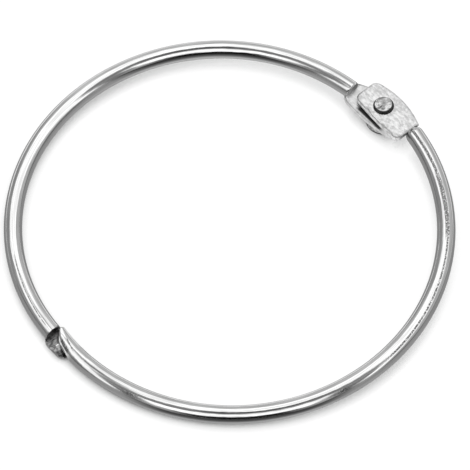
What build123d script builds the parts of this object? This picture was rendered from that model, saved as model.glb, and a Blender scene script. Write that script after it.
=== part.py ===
"""Hinged shower curtain ring, made of two half rings of polished wire and one rivet.

The origin is the middle of the ring's eye. X points at the hinge, and Z is the hinge's axis. The lower half
bends round the +Y side and the upper half round the -Y side. Each half ends in a pressed leaf at the hinge and
in a hooked lip at the clasp, and the upper half lies over the lower one at both.
"""

import os
from math import asin, degrees

from build123d import *

# Wire and bends, measured to the wire's axis
wire_diameter = 3.1
ring_bend_radius = 35.0
bend_radius_difference = 1.0
bend_centres_apart_along = 1.24
bend_centres_apart_across = 2.52

# Hinge rivet: where its axis stands, and its turned and hammered sizes
rivet_axis_inset = 0.1
rivet_axis_side_shift = 0.38
rivet_shank_diameter = 2.4
rivet_running_clearance = 0.05
rivet_head_diameter = 6.1
rivet_head_thickness = 1.9
rivet_head_edge_radius = 0.25
rivet_tail_foot_diameter = 3.55
rivet_tail_top_diameter = 2.66
rivet_tail_height = 0.64
rivet_tail_edge_radius = 0.15

# Hammer marks on the rivet's tail
tail_facet_count = 5
tail_facet_first_angle = 20
tail_facet_tilt = 8
tail_facet_depth_share = 0.1

# Hinge leaves, pressed flat to less than half the wire
leaf_thickness = 1.25
leaf_gap = 0.1
leaf_edge_radius = 0.5
leaf_tip_radius = 1.3

# Upper leaf, measured from the rivet's axis
upper_leaf_root_reach = 6.5
upper_leaf_tip_reach = 4.75
upper_leaf_inner_root = 2.9
upper_leaf_inner_belly = 2.85
upper_leaf_inner_tip = 2.45
upper_leaf_outer_root = 2.2
upper_leaf_outer_belly = 3.3
upper_leaf_outer_tip = 2.4
upper_leaf_root_radius = 1.1
upper_leaf_overlap = 0.4
upper_wire_end_radius = 1.2

# Lower leaf, measured from the rivet's axis
lower_leaf_root_reach = 7.26
lower_leaf_tip_reach = 5.04
lower_leaf_inner_root = 3.4
lower_leaf_inner_belly = 3.5
lower_leaf_inner_tip = 2.6
lower_leaf_outer_root = 0.3
lower_leaf_outer_belly = 2.65
lower_leaf_outer_tip = 2.05
lower_leaf_root_radius = 2.0
lower_leaf_overlap = 0.9
lower_wire_end_radius = 0.3

# Clasp: the hooked lap, along the wire and in height
clasp_side_shift = 0.85
lip_length = 4.45
lip_outer_spread = 0.5
lip_inner_spread = 0.2
lip_corner_radius = 1.1
lip_edge_radius = 0.9
lip_nose_gap = 0.55
lip_tip_gap = 0.2
hook_floor_depth = 0.35
hook_tooth_height = 0.25
hook_clearance = 0.15
hook_flank_reach = 0.45
hook_flank_run = 0.3
hook_crest_length = 1.1
hook_nose_drop = 0.8

# Bullet-shaped tip of the upper half: its length, the fullness of its curve and how far it leans in and up
tip_taper_length = 8.0
tip_fullness = 2.5
tip_lean_share = 0.9
tip_rise_share = 0.85
tip_round_share = 0.8
tip_station_shares = (0, 0.1, 0.2, 0.35, 0.5, 0.64, 0.76, 0.87, 0.945, 0.985)

# Cuts run past the wire by this much
cut_overrun = 3.0

# Derived sizes
wire_radius = wire_diameter / 2
lower_bend_radius = ring_bend_radius - bend_radius_difference / 2
upper_bend_radius = ring_bend_radius + bend_radius_difference / 2
lower_centre = Vector(-bend_centres_apart_along / 2, bend_centres_apart_across / 2)
upper_centre = Vector(bend_centres_apart_along / 2, -bend_centres_apart_across / 2)
rivet_axis = Vector(ring_bend_radius - rivet_axis_inset, -rivet_axis_side_shift)
leaf_face = leaf_gap / 2
leaf_back = leaf_face + leaf_thickness
lower_shoulder = clasp_side_shift + lip_length / 2
lower_nose = clasp_side_shift - lip_length / 2
upper_shoulder = lower_nose - lip_nose_gap
upper_tip = lower_shoulder - lip_tip_gap
lower_clasp_x = lower_centre.X - lower_bend_radius
cut_reach = wire_diameter + cut_overrun

# Plain constants
HALF_TURN = 180
STANDING = (Align.CENTER, Align.CENTER, Align.MIN)
ON_TOP_DOWN = (Align.CENTER, Align.CENTER, Align.MAX)


def angle_at(height, centre, radius):
    """Angle in degrees, above the X direction, at which a bend passes the given Y."""
    return degrees(asin((height - centre.Y) / radius))


def bent_wire(centre, radius, start, end):
    """Round wire along a bend from one angle to another."""
    path = CenterArc(centre, radius, start, end - start)
    section = Plane(origin=path @ 0, z_dir=path % 0) * Circle(wire_radius)
    return sweep(section, path=path)


def rounded_end(wire, end_point, radius):
    """The wire with the rim of the end nearest to a point rounded over."""
    rim = wire.faces().filter_by(GeomType.PLANE).sort_by_distance(end_point)[0].edges()
    return fillet(rim, radius)


def leaf(root, tip, inner, outer, root_radius, direction):
    """Pressed leaf round the rivet's axis, standing on Z 0, with its tip towards +Y or -Y.

    The inner and outer values are the leaf's reach at the root, at the rivet and at the tip.
    """
    root_level = rivet_axis.Y - direction * root
    tip_level = rivet_axis.Y + direction * tip
    levels = (root_level, rivet_axis.Y, tip_level)
    inner_points = [(rivet_axis.X - reach, level) for reach, level in zip(inner, levels)]
    outer_points = [(rivet_axis.X + reach, level) for reach, level in zip(outer, levels)]
    inner_side = ThreePointArc(*inner_points)
    tip_edge = Line(inner_points[-1], outer_points[-1])
    outer_side = ThreePointArc(*outer_points)
    root_edge = Line(outer_points[0], inner_points[0])
    outline = make_face([inner_side, tip_edge, outer_side, root_edge])
    root_corner = outline.vertices().sort_by_distance(inner_points[0])[0]
    outline = fillet(root_corner, root_radius)
    tip_corners = outline.vertices().sort_by(lambda corner: abs(corner.Y - tip_level))[:2]
    outline = fillet(tip_corners, leaf_tip_radius)
    plate = extrude(outline, leaf_thickness)
    faces = plate.faces().sort_by(Axis.Z)
    return fillet(faces[0].edges() + faces[-1].edges(), leaf_edge_radius)


def rivet_hole(diameter):
    """Cutter for a hole at the rivet's axis."""
    return Pos(rivet_axis) * Cylinder(diameter / 2, cut_reach)


def lap_prism(points):
    """Prism across the wires at the clasp, from points given as Y and Z."""
    outline = make_face(Polyline(*[(0, y, z) for y, z in points], close=True))
    prism = extrude(outline, cut_reach, dir=(1, 0, 0), both=True)
    return Pos(lower_clasp_x, 0, 0) * prism


def make_lower_half():
    """Half ring on the +Y side: leaf below at the hinge, hooked lip below at the clasp."""
    shoulder_y = rivet_axis.Y + lower_leaf_root_reach - lower_leaf_overlap
    start = angle_at(shoulder_y, lower_centre, lower_bend_radius)
    end = HALF_TURN - angle_at(lower_nose, lower_centre, lower_bend_radius)
    wire = bent_wire(lower_centre, lower_bend_radius, start, end)
    wire = rounded_end(wire, rivet_axis, lower_wire_end_radius)

    plate = leaf(
        lower_leaf_root_reach,
        lower_leaf_tip_reach,
        (lower_leaf_inner_root, lower_leaf_inner_belly, lower_leaf_inner_tip),
        (lower_leaf_outer_root, lower_leaf_outer_belly, lower_leaf_outer_tip),
        lower_leaf_root_radius,
        direction=-1,
    )
    plate = Pos(0, 0, -leaf_back) * plate

    # The notch presses the wire's end wider, into a lip with a rounded nose.
    lip_start = lower_shoulder + hook_flank_run
    lip_height = wire_radius + hook_tooth_height
    lip_width = wire_diameter + lip_outer_spread + lip_inner_spread
    lip_x = lower_clasp_x + (lip_inner_spread - lip_outer_spread) / 2
    lip = extrude(RectangleRounded(lip_width, lip_start - lower_nose, lip_corner_radius), lip_height)
    lip = fillet(lip.faces().sort_by(Axis.Z)[0].edges(), lip_edge_radius)
    lip = Pos(lip_x, (lip_start + lower_nose) / 2, -wire_radius) * lip

    # Floor, tooth flank, crest and falling nose of the hook, cut from above.
    flank_foot = clasp_side_shift + hook_flank_reach
    flank_top = flank_foot - hook_flank_run
    crest_end = flank_top - hook_crest_length
    notch = lap_prism(
        [
            (lower_shoulder, cut_reach),
            (lower_shoulder, -hook_floor_depth),
            (flank_foot, -hook_floor_depth),
            (flank_top, hook_tooth_height),
            (crest_end, hook_tooth_height),
            (lower_nose, hook_tooth_height - hook_nose_drop),
            (lower_nose - cut_overrun, hook_tooth_height - hook_nose_drop),
            (lower_nose - cut_overrun, cut_reach),
        ]
    )
    return wire + lip - notch + plate - rivet_hole(rivet_shank_diameter)


def bullet_tip():
    """Tapered end of the upper half's wire, which leans inwards and keeps its top nearly level."""
    sections = []
    for share in tip_station_shares:
        radius = wire_radius * (1 - share**tip_fullness) ** (1 / tip_fullness)
        lean = tip_lean_share * (wire_radius - radius)
        rise = tip_rise_share * (wire_radius - radius)
        level = upper_tip - tip_taper_length * (1 - share)
        turn = HALF_TURN - angle_at(level, upper_centre, upper_bend_radius)
        place = Pos(upper_centre) * Rot(0, 0, turn) * Pos(upper_bend_radius - lean, 0, rise)
        sections.append(place * Rot(HALF_TURN / 2, 0, 0) * Circle(radius))
    taper = loft(sections)
    end_face = taper.faces().filter_by(GeomType.PLANE).sort_by(Axis.Y)[-1]
    return fillet(end_face.edges(), radius * tip_round_share)


def make_upper_half():
    """Half ring on the -Y side: leaf above at the hinge, hooked tip above at the clasp."""
    end_y = rivet_axis.Y - upper_leaf_root_reach + upper_leaf_overlap
    start = HALF_TURN - angle_at(upper_tip - tip_taper_length, upper_centre, upper_bend_radius)
    end = 2 * HALF_TURN + angle_at(end_y, upper_centre, upper_bend_radius)
    wire = bent_wire(upper_centre, upper_bend_radius, start, end)
    wire = rounded_end(wire, rivet_axis, upper_wire_end_radius)

    plate = leaf(
        upper_leaf_root_reach,
        upper_leaf_tip_reach,
        (upper_leaf_inner_root, upper_leaf_inner_belly, upper_leaf_inner_tip),
        (upper_leaf_outer_root, upper_leaf_outer_belly, upper_leaf_outer_tip),
        upper_leaf_root_radius,
        direction=1,
    )
    plate = Pos(0, 0, leaf_face) * plate

    # Tooth, flank, roof and shoulder of the hook, cut from below.
    flank_foot = clasp_side_shift + hook_flank_reach + hook_clearance
    flank_top = flank_foot - hook_flank_run
    notch = lap_prism(
        [
            (lower_shoulder, -cut_reach),
            (lower_shoulder, hook_clearance - hook_floor_depth),
            (flank_foot, hook_clearance - hook_floor_depth),
            (flank_top, hook_clearance + hook_tooth_height),
            (upper_shoulder, hook_clearance + hook_tooth_height),
            (upper_shoulder, -cut_reach),
        ]
    )
    hole = rivet_hole(rivet_shank_diameter + 2 * rivet_running_clearance)
    return wire + bullet_tip() - notch + plate - hole


def make_rivet():
    """Rivet with a wide flat head below and a hammered tail above."""
    head = Cylinder(rivet_head_diameter / 2, rivet_head_thickness, align=ON_TOP_DOWN)
    head = fillet(head.edges().sort_by(Axis.Z)[0], rivet_head_edge_radius)
    shank_length = 2 * leaf_back + rivet_running_clearance
    shank = Cylinder(rivet_shank_diameter / 2, shank_length, align=STANDING)
    tail = Cone(rivet_tail_foot_diameter / 2, rivet_tail_top_diameter / 2, rivet_tail_height, align=STANDING)
    tail = fillet(tail.edges().sort_by(Axis.Z)[-1], rivet_tail_edge_radius)
    for index in range(tail_facet_count):
        turn = tail_facet_first_angle + index * 2 * HALF_TURN / tail_facet_count
        facet = Rot(0, 0, turn) * Rot(0, tail_facet_tilt, 0)
        facet = facet * Box(2 * cut_reach, 2 * cut_reach, cut_reach, align=STANDING)
        tail -= Pos(0, 0, rivet_tail_height * (1 - tail_facet_depth_share)) * facet
    rivet = Pos(0, 0, -leaf_back) * (head + shank)
    rivet += Pos(0, 0, leaf_back + rivet_running_clearance) * tail
    return Pos(rivet_axis) * rivet


def main():
    """Writes one file for each piece."""
    os.makedirs("parts", exist_ok=True)
    pieces = {
        "lower_half": make_lower_half(),
        "upper_half": make_upper_half(),
        "hinge_rivet": make_rivet(),
    }
    for name, piece in pieces.items():
        export_step(piece, os.path.join("parts", name + ".step"))


main()
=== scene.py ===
"""Looks of the hinged shower curtain ring: finishes, studio light, floor and camera."""
import math
from types import SimpleNamespace

import bpy
from mathutils import Matrix, Vector


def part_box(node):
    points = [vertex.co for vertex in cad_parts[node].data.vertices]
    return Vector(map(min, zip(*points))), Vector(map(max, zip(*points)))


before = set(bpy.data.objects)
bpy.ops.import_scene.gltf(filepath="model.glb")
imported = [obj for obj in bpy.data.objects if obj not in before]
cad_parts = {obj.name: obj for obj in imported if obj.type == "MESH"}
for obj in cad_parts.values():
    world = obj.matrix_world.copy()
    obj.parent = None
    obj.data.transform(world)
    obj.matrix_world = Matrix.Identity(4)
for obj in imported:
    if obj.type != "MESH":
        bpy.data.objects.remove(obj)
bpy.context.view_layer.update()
scene = bpy.context.scene
scene.view_settings.view_transform = "Standard"

# Units
MM = 0.001
PER_MM = 1000.0
FULL_TURN = 360.0

# Photograph's camera, in degrees, metres and pixels, with the sensor in millimetres
CAMERA_ELEVATION = 59.3
CAMERA_ROLL = -2.0
CAMERA_DISTANCE = 750 * MM
CAMERA_CLIP = (0.01, 10)
IMAGE_TURN = 39.0
IMAGE_SIZE = 470
PIXELS_PER_METRE = 5970
ORIGIN_PIXEL = (226.42, 225.1)
SENSOR = 36.0

# In the values below, a mask has two numbers: where it starts and where it is full. A span has three: its
# start, its end and how soft both are. A noise has its scale for each millimetre, its detail and, at times,
# its roughness. Levels are greys, where 1 is white.

# Ring, in millimetres: bend centres and radii, the wire, the flat of the rivet's head, and its ends along X
BENDS = {"lower_half": ((-0.62, 1.26), 34.5), "upper_half": ((0.62, -1.26), 35.5)}
WIRE_RADIUS = 1.55
HEAD_FLAT_RADIUS = 2.8
HINGE_SIDE = (25, 26)
CLASP_SIDE = (-25, -26)

# All metal: tint at grazing angles
EDGE_TINT = 0.55

# Drawn wire: lines and waves, drawn out along the ring
LINE_NOISE = (7.0, 3.0)
LINE_LENGTHENING = 0.012
LINE_MASK = (0.36, 0.62)
LINE_RELIEF = 0.12
WAVE_NOISE = (1.1, 2.0)
WAVE_LENGTHENING = 0.12
WIRE_LEVELS = (0.62, 0.84)
WIRE_ROUGHNESS = (0.05, 0.16)
WIRE_BUMP = 0.03 * MM

# Painted dark reflection low on the wire's flanks, by height. Their starts, full heights and levels have one
# value for the ring's far and near stretches and one for its sides, which are told by the cosine of the
# angle from the far point. The upper half's tip is left out and stays bright.
FAR_POINT = 90 - IMAGE_TURN
FLANK_SIDES = (0.96, 0.84)
FLANK_STARTS = (0.99, 1.16)
FLANK_FULL = (0.79, 0.96)
FLANK_FADE = (0.65, -0.35)
FLANK_LEVELS = ((0.05, 0.54), (0.24, 0.42))
FLANK_UNEVEN = (0.8, 1.2)
FLANK_ROUGHNESS = 0.2
TIP_END = (179.5, 182.5)

# Scuffs on the wire: angle along the ring, half length, angle round the wire, half width,
# the turn round the wire for each degree along the ring, and the softness of the ends
SCUFFS = {
    "lower_half": ((163, 12, 77.5, 3, -0.52, 3),),
    "upper_half": (
        (295, 22, 71, 6, 0.46, 3),
        (324.5, 10, 88, 13, 0.60, 2),
        (342.5, 9.5, 98, 9, 0.85, 2),
        (201, 3, 52, 11, 0, 3),
        (259, 3, 51, 11, 0, 3),
        (178.8, 2.0, 60, 14, -6.0, 0.6),
        (179.2, 2.2, 94, 4, -6.5, 0.8),
    ),
}
SCUFF_EDGE_SHARE = 0.4
SCUFF_GRAIN_NOISE = (4.5, 3.0)
SCUFF_GRAIN_MASK = (0.32, 0.54)
SCUFF_LEVEL = 0.12
SCUFF_ROUGHNESS = 0.30

# Pressed leaves, which start at their roots along Y
LEAF_ROOTS = {"lower_half": (6.05, 5.75), "upper_half": (-7.0, -6.7)}
LEAF_SATIN = {
    "lower_half": {"levels": (0.56, 0.72), "roughness": (0.28, 0.38), "relief": 0.25},
    "upper_half": {"levels": (0.56, 0.90), "roughness": (0.34, 0.52), "relief": 0.9},
}
PATCH_NOISE = (2.1, 4.0, 0.6)
PATCH_LENGTHENING = 0.5
PATCH_MASK = (0.34, 0.66)
PATCH_RELIEF = 1.6
PIT_NOISE = (3.6, 2.0)
PIT_RELIEF = 0.6

# Shaded line where the upper leaf's flat turns into its rounded edge, on the side of the ring's eye
RIM_HEIGHT = (1.14, 1.23, 0.03)
RIM_SIDE = (34.2, 32.6)
RIM_LEVEL = 0.42

# Painted shade in the joint, on the lower leaf, along the upper leaf's edge
JOINT_INSIDE = (31.62, 31.82)
JOINT_EDGE = (32.8, 32.6)
JOINT_SLOPE = 0.08
JOINT_REACH = (-3.0, 2.9, 0.5)
JOINT_FACE = (-0.4, -0.15)
JOINT_SHADE_LEVEL = 0.05
JOINT_SHADE_ROUGHNESS = 0.3

# Cut notch of the clasp, along Y and by height, and the tooth beside it. The notch's dark levels are partly
# its torn cut and partly painted shade of the recess under the upper half's tip.
NOTCH_LENGTH = (1.28, 3.3, 0.15)
NOTCH_TOP = (1.4, 1.2)
NOTCH_FLOOR = (-0.44, -0.38)
NOTCH_LEVELS = (0.06, 0.40)
NOTCH_ROUGHNESS = 0.34
TEAR_NOISE = (5.0, 3.0)
TEAR_LENGTHENING = 0.35
TEAR_MASK = (0.38, 0.62)
TEAR_RELIEF = 1.5
TOOTH_START = (1.28, 1.18)
TOOTH_HEIGHT = (-0.6, -0.5)
TOOTH_LEVEL = 0.13
TOOTH_CORNER = (0.75, 0.90)
SPOT_LEVELS = (0.34, 0.80)
SPOT_NOISE = (2.6, 1.0)
SPOT_MASK = (0.48, 0.58)

# Rivet: worn and dented plating, with painted shade round the tail's side and on the head's rim
RIVET_GRAIN_NOISE = (5.0, 3.0)
RIVET_LEVELS = (0.52, 0.74)
RIVET_ROUGHNESS = (0.16, 0.34)
BRUISE_NOISE = (1.0, 1.0)
BRUISE_MASK = (0.60, 0.40)
BRUISE_LEVEL = 0.34
DENT_NOISE = (0.9, 1.0)
DENT_BUMP = 0.4 * MM
DARK_RING_MIDDLE = (34.97, -0.23, 0)
TAIL_SIDE = (1.40, 1.52)
TAIL_HEIGHT = (0, 1)
HEAD_RIM = (-2.5, -2.9)
RIVET_SHADE_LEVEL = 0.05

# Studio tent. Places are angles in degrees: across goes to the photograph's right, aside is that without its
# sign, and along goes from overhead towards the camera. The arch has its half widths across and along.
SIDE_WALLS = (0.32, 0.54)
SIDE_WALLS_ACROSS = (-30, 30)
FAR_WALL = 0.60
FAR_WALL_ALONG = (-40, -55)
FAR_WALL_ASIDE = (34, 18)
ARCH = 1.35
ARCH_FOOT = 60
ARCH_POWER = 3.0
ARCH_OUTER = (58, 106)
ARCH_OUTER_EDGE = (1.05, 0.95)
ARCH_INNER = (45, 64)
ARCH_INNER_EDGE = (1.04, 0.96)
SEAM = 0.26
SLOT_MIDDLE = (-16, -12)
SLOT_SLANT = (0.92, 0.40)
SLOT_WIDTH = (-4, 4, 3)
SLOT_ALONG = (-28, 5, 4)
LOW_SIDES = 0.42
LOW_SIDES_ALONG = (53, 63)
LOW_SIDES_ASIDE = (27, 46, 4)
NEAR_PANEL = 1.4
NEAR_PANEL_ACROSS = (-31, 28, 4)
NEAR_PANEL_ALONG = (25, 57, 4)
GAP = 0.08
GAP_ACROSS = (-8, 13, 5)
GAP_ALONG = (0, 13, 4)
OPENING = 0.003
OPENING_ACROSS = (-22, 20, 6)
OPENING_ALONG = (62, 120, 4)

# Floor, and the lamp that whitens it from overhead, in metres and watts. The floor glows white, and less
# near the ring, as a painted contact shadow.
FLOOR_HALF_WIDTH = 2.0
FLOOR_LEVEL = 0.16
FLOOR_GLOW = 0.88
FLOOR_CONTACT = 3.5 * MM
FLOOR_CONTACT_MASK = (0.05, 0.69)
FLOOR_CONTACT_SAMPLES = 4
FLOOR_LAMP_WATTS = 1.6
FLOOR_LAMP_SIZE = 0.6
FLOOR_LAMP_HEIGHT = 0.6
FLOOR_LAMP_BEHIND = 0.02


def level_axes():
    """Level directions to the photograph's right and away from the camera, in the part's frame."""
    turn = math.radians(IMAGE_TURN)
    right = Vector((math.cos(turn), -math.sin(turn), 0))
    away = Vector((math.sin(turn), math.cos(turn), 0))
    return right, away


def view_axes():
    """Right, up and back directions of the camera in the part's frame."""
    right, away = level_axes()
    lift = math.radians(CAMERA_ELEVATION)
    roll = math.radians(CAMERA_ROLL)
    back = Vector((0, 0, math.sin(lift))) - math.cos(lift) * away
    up = back.cross(right)
    rolled_right = math.cos(roll) * right + math.sin(roll) * up
    rolled_up = math.cos(roll) * up - math.sin(roll) * right
    return rolled_right, rolled_up, back


def add_camera():
    """Camera at the photograph's angle, aimed so that the origin falls on its pixel."""
    right, up, back = view_axes()
    middle = IMAGE_SIZE / 2
    aim = right * ((middle - ORIGIN_PIXEL[0]) / PIXELS_PER_METRE)
    aim -= up * ((middle - ORIGIN_PIXEL[1]) / PIXELS_PER_METRE)
    place = back * CAMERA_DISTANCE
    out = (place - aim).normalized()
    side = up.cross(out).normalized()
    data = bpy.data.cameras.new("camera")
    data.sensor_width = SENSOR
    data.lens = PIXELS_PER_METRE * CAMERA_DISTANCE / IMAGE_SIZE * SENSOR
    data.clip_start, data.clip_end = CAMERA_CLIP
    camera = bpy.data.objects.new("camera", data)
    axes = Matrix((side, out.cross(side), out)).transposed().to_4x4()
    camera.matrix_world = Matrix.Translation(place) @ axes
    scene.collection.objects.link(camera)
    scene.camera = camera


class Graph:
    """Adds nodes to a tree. An input is a number, a vector or another node's output."""

    def __init__(self, tree):
        self.tree = tree

    def put(self, socket, value):
        """Links an output to a socket, or sets a plain value on it."""
        if isinstance(value, bpy.types.NodeSocket):
            self.tree.links.new(value, socket)
        else:
            socket.default_value = value

    def node(self, kind, settings=None, **inputs):
        """New node, with an underscore for each space in an input's name."""
        node = self.tree.nodes.new(kind)
        for name, value in (settings or {}).items():
            setattr(node, name, value)
        for name, value in inputs.items():
            self.put(node.inputs[name.replace("_", " ")], value)
        return node

    def math(self, operation, *values):
        node = self.tree.nodes.new("ShaderNodeMath")
        node.operation = operation
        for socket, value in zip(node.inputs, values):
            self.put(socket, value)
        return node.outputs[0]

    def times(self, first, *others):
        """Product of values. For masks it is 1 where all of them are 1."""
        product = first
        for other in others:
            product = self.math("MULTIPLY", product, other)
        return product

    def vector(self, operation, *values):
        node = self.tree.nodes.new("ShaderNodeVectorMath")
        node.operation = operation
        for socket, value in zip(node.inputs, values):
            self.put(socket, value)
        return node.outputs["Value" if operation in ("DOT_PRODUCT", "LENGTH") else "Vector"]

    def split(self, vector):
        return self.node("ShaderNodeSeparateXYZ", Vector=vector).outputs

    def join(self, x, y, z):
        return self.node("ShaderNodeCombineXYZ", X=x, Y=y, Z=z).outputs["Vector"]

    def step(self, value, low, high):
        """Goes smoothly from 0 at low to 1 at high."""
        ramp = self.node("ShaderNodeMapRange", {"interpolation_type": "SMOOTHSTEP"}, Value=value)
        self.put(ramp.inputs["From Min"], low)
        self.put(ramp.inputs["From Max"], high)
        return ramp.outputs["Result"]

    def span(self, value, low, high, soft):
        """1 between low and high, with soft ends."""
        rise = self.step(value, low - soft, low + soft)
        fall = self.step(value, high + soft, high - soft)
        return self.times(rise, fall)

    def mix(self, share, low, high):
        """Goes from low at a share of 0 to high at 1."""
        node = self.node("ShaderNodeMix", {"data_type": "FLOAT"})
        self.put(node.inputs["Factor"], share)
        self.put(node.inputs["A"], low)
        self.put(node.inputs["B"], high)
        return node.outputs["Result"]

    def noise(self, vector, scale, detail, roughness=0.5):
        inputs = {"Vector": vector, "Scale": scale, "Detail": detail, "Roughness": roughness}
        return self.node("ShaderNodeTexNoise", **inputs).outputs["Fac"]

    def grey(self, level):
        return self.join(level, level, level)

    def part_point(self):
        """Surface point in the part's frame, in millimetres."""
        point = self.vector("SCALE", self.node("ShaderNodeTexCoord").outputs["Object"])
        self.put(point.node.inputs["Scale"], PER_MM)
        return point


def light_studio():
    """Light tent: a white arch overhead, a panel on the camera's side and a dark opening below it."""
    world = bpy.data.worlds.new("studio")
    scene.world = world
    world.use_nodes = True
    g = Graph(world.node_tree)
    right, away = level_axes()
    direction = g.node("ShaderNodeTexCoord").outputs["Generated"]
    across = g.math("DEGREES", g.math("ARCSINE", g.vector("DOT_PRODUCT", direction, right)))
    nearer = g.vector("DOT_PRODUCT", direction, -away)
    along = g.math("DEGREES", g.math("ARCTAN2", nearer, g.split(direction)["Z"]))
    aside = g.math("ABSOLUTE", across)

    def oval(half_across, half_along):
        """Distance from the arch's foot, 1 on the flat-topped oval of these half widths."""
        sideways = g.math("POWER", g.math("DIVIDE", aside, half_across), ARCH_POWER)
        lengthways = g.math("DIVIDE", g.math("SUBTRACT", along, ARCH_FOOT), half_along)
        lengthways = g.math("POWER", g.math("ABSOLUTE", lengthways), ARCH_POWER)
        return g.math("POWER", g.math("ADD", sideways, lengthways), 1 / ARCH_POWER)

    # Walls and arch
    level = g.mix(g.step(across, *SIDE_WALLS_ACROSS), *SIDE_WALLS)
    far_wall = g.times(g.step(along, *FAR_WALL_ALONG), g.step(aside, *FAR_WALL_ASIDE))
    level = g.mix(far_wall, level, FAR_WALL)
    level = g.mix(g.step(oval(*ARCH_OUTER), *ARCH_OUTER_EDGE), level, ARCH)
    level = g.mix(g.step(oval(*ARCH_INNER), *ARCH_INNER_EDGE), level, SEAM)

    # Slanting slot through the arch
    slant_across = g.times(g.math("SUBTRACT", across, SLOT_MIDDLE[0]), SLOT_SLANT[0])
    slant_along = g.times(g.math("SUBTRACT", along, SLOT_MIDDLE[1]), SLOT_SLANT[1])
    slant = g.math("ADD", slant_across, slant_along)
    level = g.mix(g.times(g.span(slant, *SLOT_WIDTH), g.span(along, *SLOT_ALONG)), level, SEAM)

    # Camera's side
    low_sides = g.times(g.step(along, *LOW_SIDES_ALONG), g.span(aside, *LOW_SIDES_ASIDE))
    level = g.mix(low_sides, level, LOW_SIDES)
    for panel, panel_across, panel_along in (
        (NEAR_PANEL, NEAR_PANEL_ACROSS, NEAR_PANEL_ALONG),
        (GAP, GAP_ACROSS, GAP_ALONG),
        (OPENING, OPENING_ACROSS, OPENING_ALONG),
    ):
        level = g.mix(g.times(g.span(across, *panel_across), g.span(along, *panel_along)), level, panel)
    g.put(world.node_tree.nodes["Background"].inputs["Color"], g.grey(level))


def light_floor():
    """Wide soft lamp overhead that whitens the floor and stays out of the metal's reflections."""
    lamp = bpy.data.lights.new("floor_lamp", "AREA")
    lamp.energy = FLOOR_LAMP_WATTS
    lamp.size = FLOOR_LAMP_SIZE
    place = bpy.data.objects.new("floor_lamp", lamp)
    away = level_axes()[1]
    place.location = away * FLOOR_LAMP_BEHIND + Vector((0, 0, FLOOR_LAMP_HEIGHT))
    place.rotation_euler = place.location.to_track_quat("Z", "Y").to_euler()
    place.visible_glossy = False
    scene.collection.objects.link(place)


def floor_finish():
    """Matt floor that glows white and keeps the lamps' shadow, with a painted contact shadow, close and dark
    where the ring touches.
    """
    material = bpy.data.materials.new("floor")
    material.use_nodes = True
    shader = material.node_tree.nodes["Principled BSDF"]
    shader.inputs["Base Color"].default_value = (FLOOR_LEVEL, FLOOR_LEVEL, FLOOR_LEVEL, 1)
    shader.inputs["Roughness"].default_value = 1.0
    shader.inputs["Specular IOR Level"].default_value = 0.0
    shader.inputs["Emission Color"].default_value = (1, 1, 1, 1)
    g = Graph(material.node_tree)
    # Painted contact shadow: the glow fades where the ring occludes the floor
    near = g.node("ShaderNodeAmbientOcclusion", {"samples": FLOOR_CONTACT_SAMPLES}, Distance=FLOOR_CONTACT)
    shade = g.step(near.outputs["AO"], *FLOOR_CONTACT_MASK)
    g.put(shader.inputs["Emission Strength"], g.times(shade, FLOOR_GLOW))
    return material


def add_floor():
    """White floor under the two places where the ring rests: the rivet's head and the far wire."""
    head_low, head_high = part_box("hinge_rivet")
    ring_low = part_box("lower_half")[0]
    touch_head = Vector(((head_low[0] + head_high[0]) / 2 - HEAD_FLAT_RADIUS * MM, 0, head_low[2]))
    touch_wire = Vector((ring_low[0] + WIRE_RADIUS * MM, 0, -WIRE_RADIUS * MM))
    along = (touch_head - touch_wire).normalized()
    normal = along.cross(Vector((0, 1, 0)))
    across = normal.cross(along)
    half = FLOOR_HALF_WIDTH
    mesh = bpy.data.meshes.new("floor")
    corners = [(x, y, 0) for x, y in ((-half, -half), (half, -half), (half, half), (-half, half))]
    mesh.from_pydata(corners, [], [(0, 1, 2, 3)])
    mesh.materials.append(floor_finish())
    floor = bpy.data.objects.new("floor", mesh)
    axes = Matrix((along, across, normal)).transposed().to_4x4()
    floor.matrix_world = Matrix.Translation(touch_head) @ axes
    scene.collection.objects.link(floor)


def new_metal(name):
    """Material of bare metal, its graph and its shader."""
    material = bpy.data.materials.new(name)
    material.use_nodes = True
    shader = material.node_tree.nodes["Principled BSDF"]
    shader.inputs["Metallic"].default_value = 1
    shader.inputs["Specular Tint"].default_value = (EDGE_TINT, EDGE_TINT, EDGE_TINT, 1)
    return material, Graph(material.node_tree), shader


class Coat:
    """Level, roughness and relief of a metal surface, as outputs of a graph."""

    def __init__(self, g, level, rough, height):
        self.g = g
        self.level = level
        self.rough = rough
        self.height = height

    def cover(self, share, **looks):
        """Lays new looks over the old ones, as far as the share says."""
        for name, look in looks.items():
            setattr(self, name, self.g.mix(share, getattr(self, name), look))

    def put_on(self, shader, bump_height):
        """Gives the looks to a shader."""
        bump = self.g.node("ShaderNodeBump", Height=self.height, Distance=bump_height)
        self.g.put(shader.inputs["Base Color"], self.g.grey(self.level))
        self.g.put(shader.inputs["Roughness"], self.rough)
        self.g.put(shader.inputs["Normal"], bump.outputs["Normal"])


def wire_places(g, half):
    """Where a point of a half ring lies, in millimetres and in degrees along the ring and round the wire."""
    (centre_x, centre_y), bend = BENDS[half]
    point = g.part_point()
    x, y, z = g.split(point)[0:3]
    from_x = g.math("SUBTRACT", x, centre_x)
    from_y = g.math("SUBTRACT", y, centre_y)
    out = g.math("SQRT", g.math("ADD", g.times(from_x, from_x), g.times(from_y, from_y)))
    side = g.math("SUBTRACT", out, bend)
    turn = g.math("DEGREES", g.math("ARCTAN2", from_y, from_x))
    turn = g.math("MODULO", g.math("ADD", turn, FULL_TURN), FULL_TURN)
    around = g.math("DEGREES", g.math("ARCTAN2", z, side))
    lines = g.noise(g.join(side, z, g.times(turn, LINE_LENGTHENING)), *LINE_NOISE)
    return SimpleNamespace(point=point, x=x, y=y, z=z, side=side, turn=turn, around=around, lines=lines)


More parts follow.
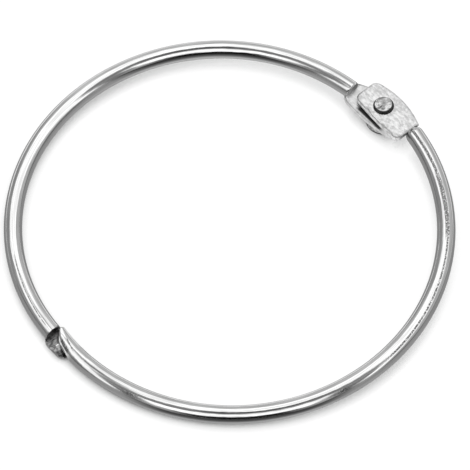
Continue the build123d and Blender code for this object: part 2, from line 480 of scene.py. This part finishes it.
def drawn_wire(g, at):
    """Bright wire, with faint lines and waves that run along it."""
    waves = g.noise(g.join(at.side, at.z, g.times(at.turn, WAVE_LENGTHENING)), *WAVE_NOISE)
    level = g.mix(g.step(at.lines, *LINE_MASK), *WIRE_LEVELS)
    rough = g.mix(at.lines, *WIRE_ROUGHNESS)
    height = g.math("ADD", waves, g.times(at.lines, LINE_RELIEF))
    return Coat(g, level, rough, height)


def paint_dark_flanks(g, at, coat, half):
    """Painted dark reflection low on the wire's flanks, but not on the upper half's tip."""
    facing = g.math("COSINE", g.math("RADIANS", g.math("SUBTRACT", at.turn, FAR_POINT)))
    aside = g.step(g.math("ABSOLUTE", facing), *FLANK_SIDES)
    low = g.step(at.z, g.mix(aside, *FLANK_STARTS), g.mix(aside, *FLANK_FULL))
    if half == "upper_half":
        low = g.times(low, g.step(at.turn, *TIP_END))
    faded = g.step(at.z, *FLANK_FADE)
    flank_dark = g.mix(aside, *(g.mix(faded, *levels) for levels in FLANK_LEVELS))
    coat.cover(low, level=g.times(flank_dark, g.mix(at.lines, *FLANK_UNEVEN)), rough=FLANK_ROUGHNESS)


def scuff_wire(g, at, coat, half):
    """Grainy scuffs along the wire."""
    scuffed = 0.0
    for angle, half_length, face, half_width, slant, soft in SCUFFS[half]:
        slid = g.times(g.math("SUBTRACT", at.turn, angle), -slant)
        around = g.math("ADD", at.around, slid)
        lengthways = g.span(at.turn, angle - half_length, angle + half_length, soft)
        widthways = g.span(around, face - half_width, face + half_width, half_width * SCUFF_EDGE_SHARE)
        scuffed = g.math("MAXIMUM", scuffed, g.times(lengthways, widthways))
    grain = g.noise(at.point, *SCUFF_GRAIN_NOISE)
    scuffed = g.times(scuffed, g.step(grain, *SCUFF_GRAIN_MASK))
    coat.cover(scuffed, level=SCUFF_LEVEL, rough=SCUFF_ROUGHNESS)


def press_leaf(g, at, coat, half):
    """Satin, mottled leaf at the hinge. The upper one has a shaded line at its rounded edge."""
    leaf = g.times(g.step(at.y, *LEAF_ROOTS[half]), g.step(at.x, *HINGE_SIDE))
    satin = LEAF_SATIN[half]
    lengthened = g.join(at.x, g.times(at.y, PATCH_LENGTHENING), g.times(at.z, PATCH_LENGTHENING))
    patches = g.noise(lengthened, *PATCH_NOISE)
    pits = g.noise(at.point, *PIT_NOISE)
    level = g.mix(g.step(patches, *PATCH_MASK), *satin["levels"])
    rough = g.mix(pits, *satin["roughness"])
    coined = g.math("ADD", g.times(patches, PATCH_RELIEF), g.times(pits, PIT_RELIEF))
    coat.cover(leaf, level=level, rough=rough, height=g.times(coined, satin["relief"]))
    if half == "upper_half":
        rim = g.times(leaf, g.span(at.z, *RIM_HEIGHT), g.step(at.x, *RIM_SIDE))
        coat.cover(rim, level=RIM_LEVEL)


def paint_joint_shade(g, at, coat):
    """Painted shade on the lower leaf, along the upper leaf's edge."""
    under = g.math("SUBTRACT", at.x, g.times(at.y, JOINT_SLOPE))
    between = g.times(g.step(at.x, *JOINT_INSIDE), g.step(under, *JOINT_EDGE))
    joint_shade = g.times(between, g.span(at.y, *JOINT_REACH), g.step(at.z, *JOINT_FACE))
    coat.cover(joint_shade, level=JOINT_SHADE_LEVEL, rough=JOINT_SHADE_ROUGHNESS)


def cut_notch(g, at, coat):
    """Torn notch at the clasp, darkened partly with painted shade, and the dark tooth beside it with bright
    spots.
    """
    clasp = g.step(at.x, *CLASP_SIDE)
    notch = g.times(clasp, g.span(at.y, *NOTCH_LENGTH))
    notch = g.times(notch, g.step(at.z, *NOTCH_TOP), g.step(at.z, *NOTCH_FLOOR))
    tears = g.noise(g.join(g.times(at.x, TEAR_LENGTHENING), at.y, at.z), *TEAR_NOISE)
    # Dark levels here are partly the torn cut's own tone and partly painted shade of the recess
    torn = g.mix(g.step(tears, *TEAR_MASK), *NOTCH_LEVELS)
    coat.cover(notch, level=torn, rough=NOTCH_ROUGHNESS, height=g.times(tears, TEAR_RELIEF))

    tooth = g.times(clasp, g.step(at.y, *TOOTH_START), g.step(at.z, *TOOTH_HEIGHT))
    bright = g.mix(g.step(at.y, *TOOTH_CORNER), *SPOT_LEVELS)
    spots = g.step(g.noise(at.point, *SPOT_NOISE), *SPOT_MASK)
    coat.cover(tooth, level=g.mix(spots, TOOTH_LEVEL, bright))


def wire_finish(half):
    """Bright drawn wire, with painted dark reflection on its flanks and a satin leaf at the hinge and, on
    the lower half, painted shade in the joint and a notch darkened partly by painted shade.
    """
    material, g, shader = new_metal(half + "_finish")
    at = wire_places(g, half)
    coat = drawn_wire(g, at)
    paint_dark_flanks(g, at, coat, half)
    scuff_wire(g, at, coat, half)
    press_leaf(g, at, coat, half)
    if half == "lower_half":
        paint_joint_shade(g, at, coat)
        cut_notch(g, at, coat)
    coat.put_on(shader, WIRE_BUMP)
    return material


def rivet_finish():
    """Plated rivet, hammered at its tail and a little duller than the wire."""
    material, g, shader = new_metal("rivet_finish")
    point = g.part_point()
    grain = g.noise(point, *RIVET_GRAIN_NOISE)
    level = g.mix(grain, *RIVET_LEVELS)
    coat = Coat(g, level, g.mix(grain, *RIVET_ROUGHNESS), g.noise(point, *DENT_NOISE))
    bruised = g.step(g.noise(point, *BRUISE_NOISE), *BRUISE_MASK)
    coat.cover(bruised, level=BRUISE_LEVEL)

    # Painted shade: a dark ring round the tail's side and on the head's rim
    x, y, z = g.split(g.vector("SUBTRACT", point, DARK_RING_MIDDLE))[0:3]
    from_middle = g.vector("LENGTH", g.join(x, y, 0))
    tail_side = g.times(g.step(from_middle, *TAIL_SIDE), g.step(z, *TAIL_HEIGHT))
    rivet_shade = g.math("MAXIMUM", tail_side, g.step(z, *HEAD_RIM))
    coat.cover(rivet_shade, level=RIVET_SHADE_LEVEL)
    coat.put_on(shader, DENT_BUMP)
    return material


add_camera()
light_studio()
light_floor()
add_floor()
for name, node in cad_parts.items():
    node.data.materials.clear()
    node.data.materials.append(rivet_finish() if name == "hinge_rivet" else wire_finish(name))
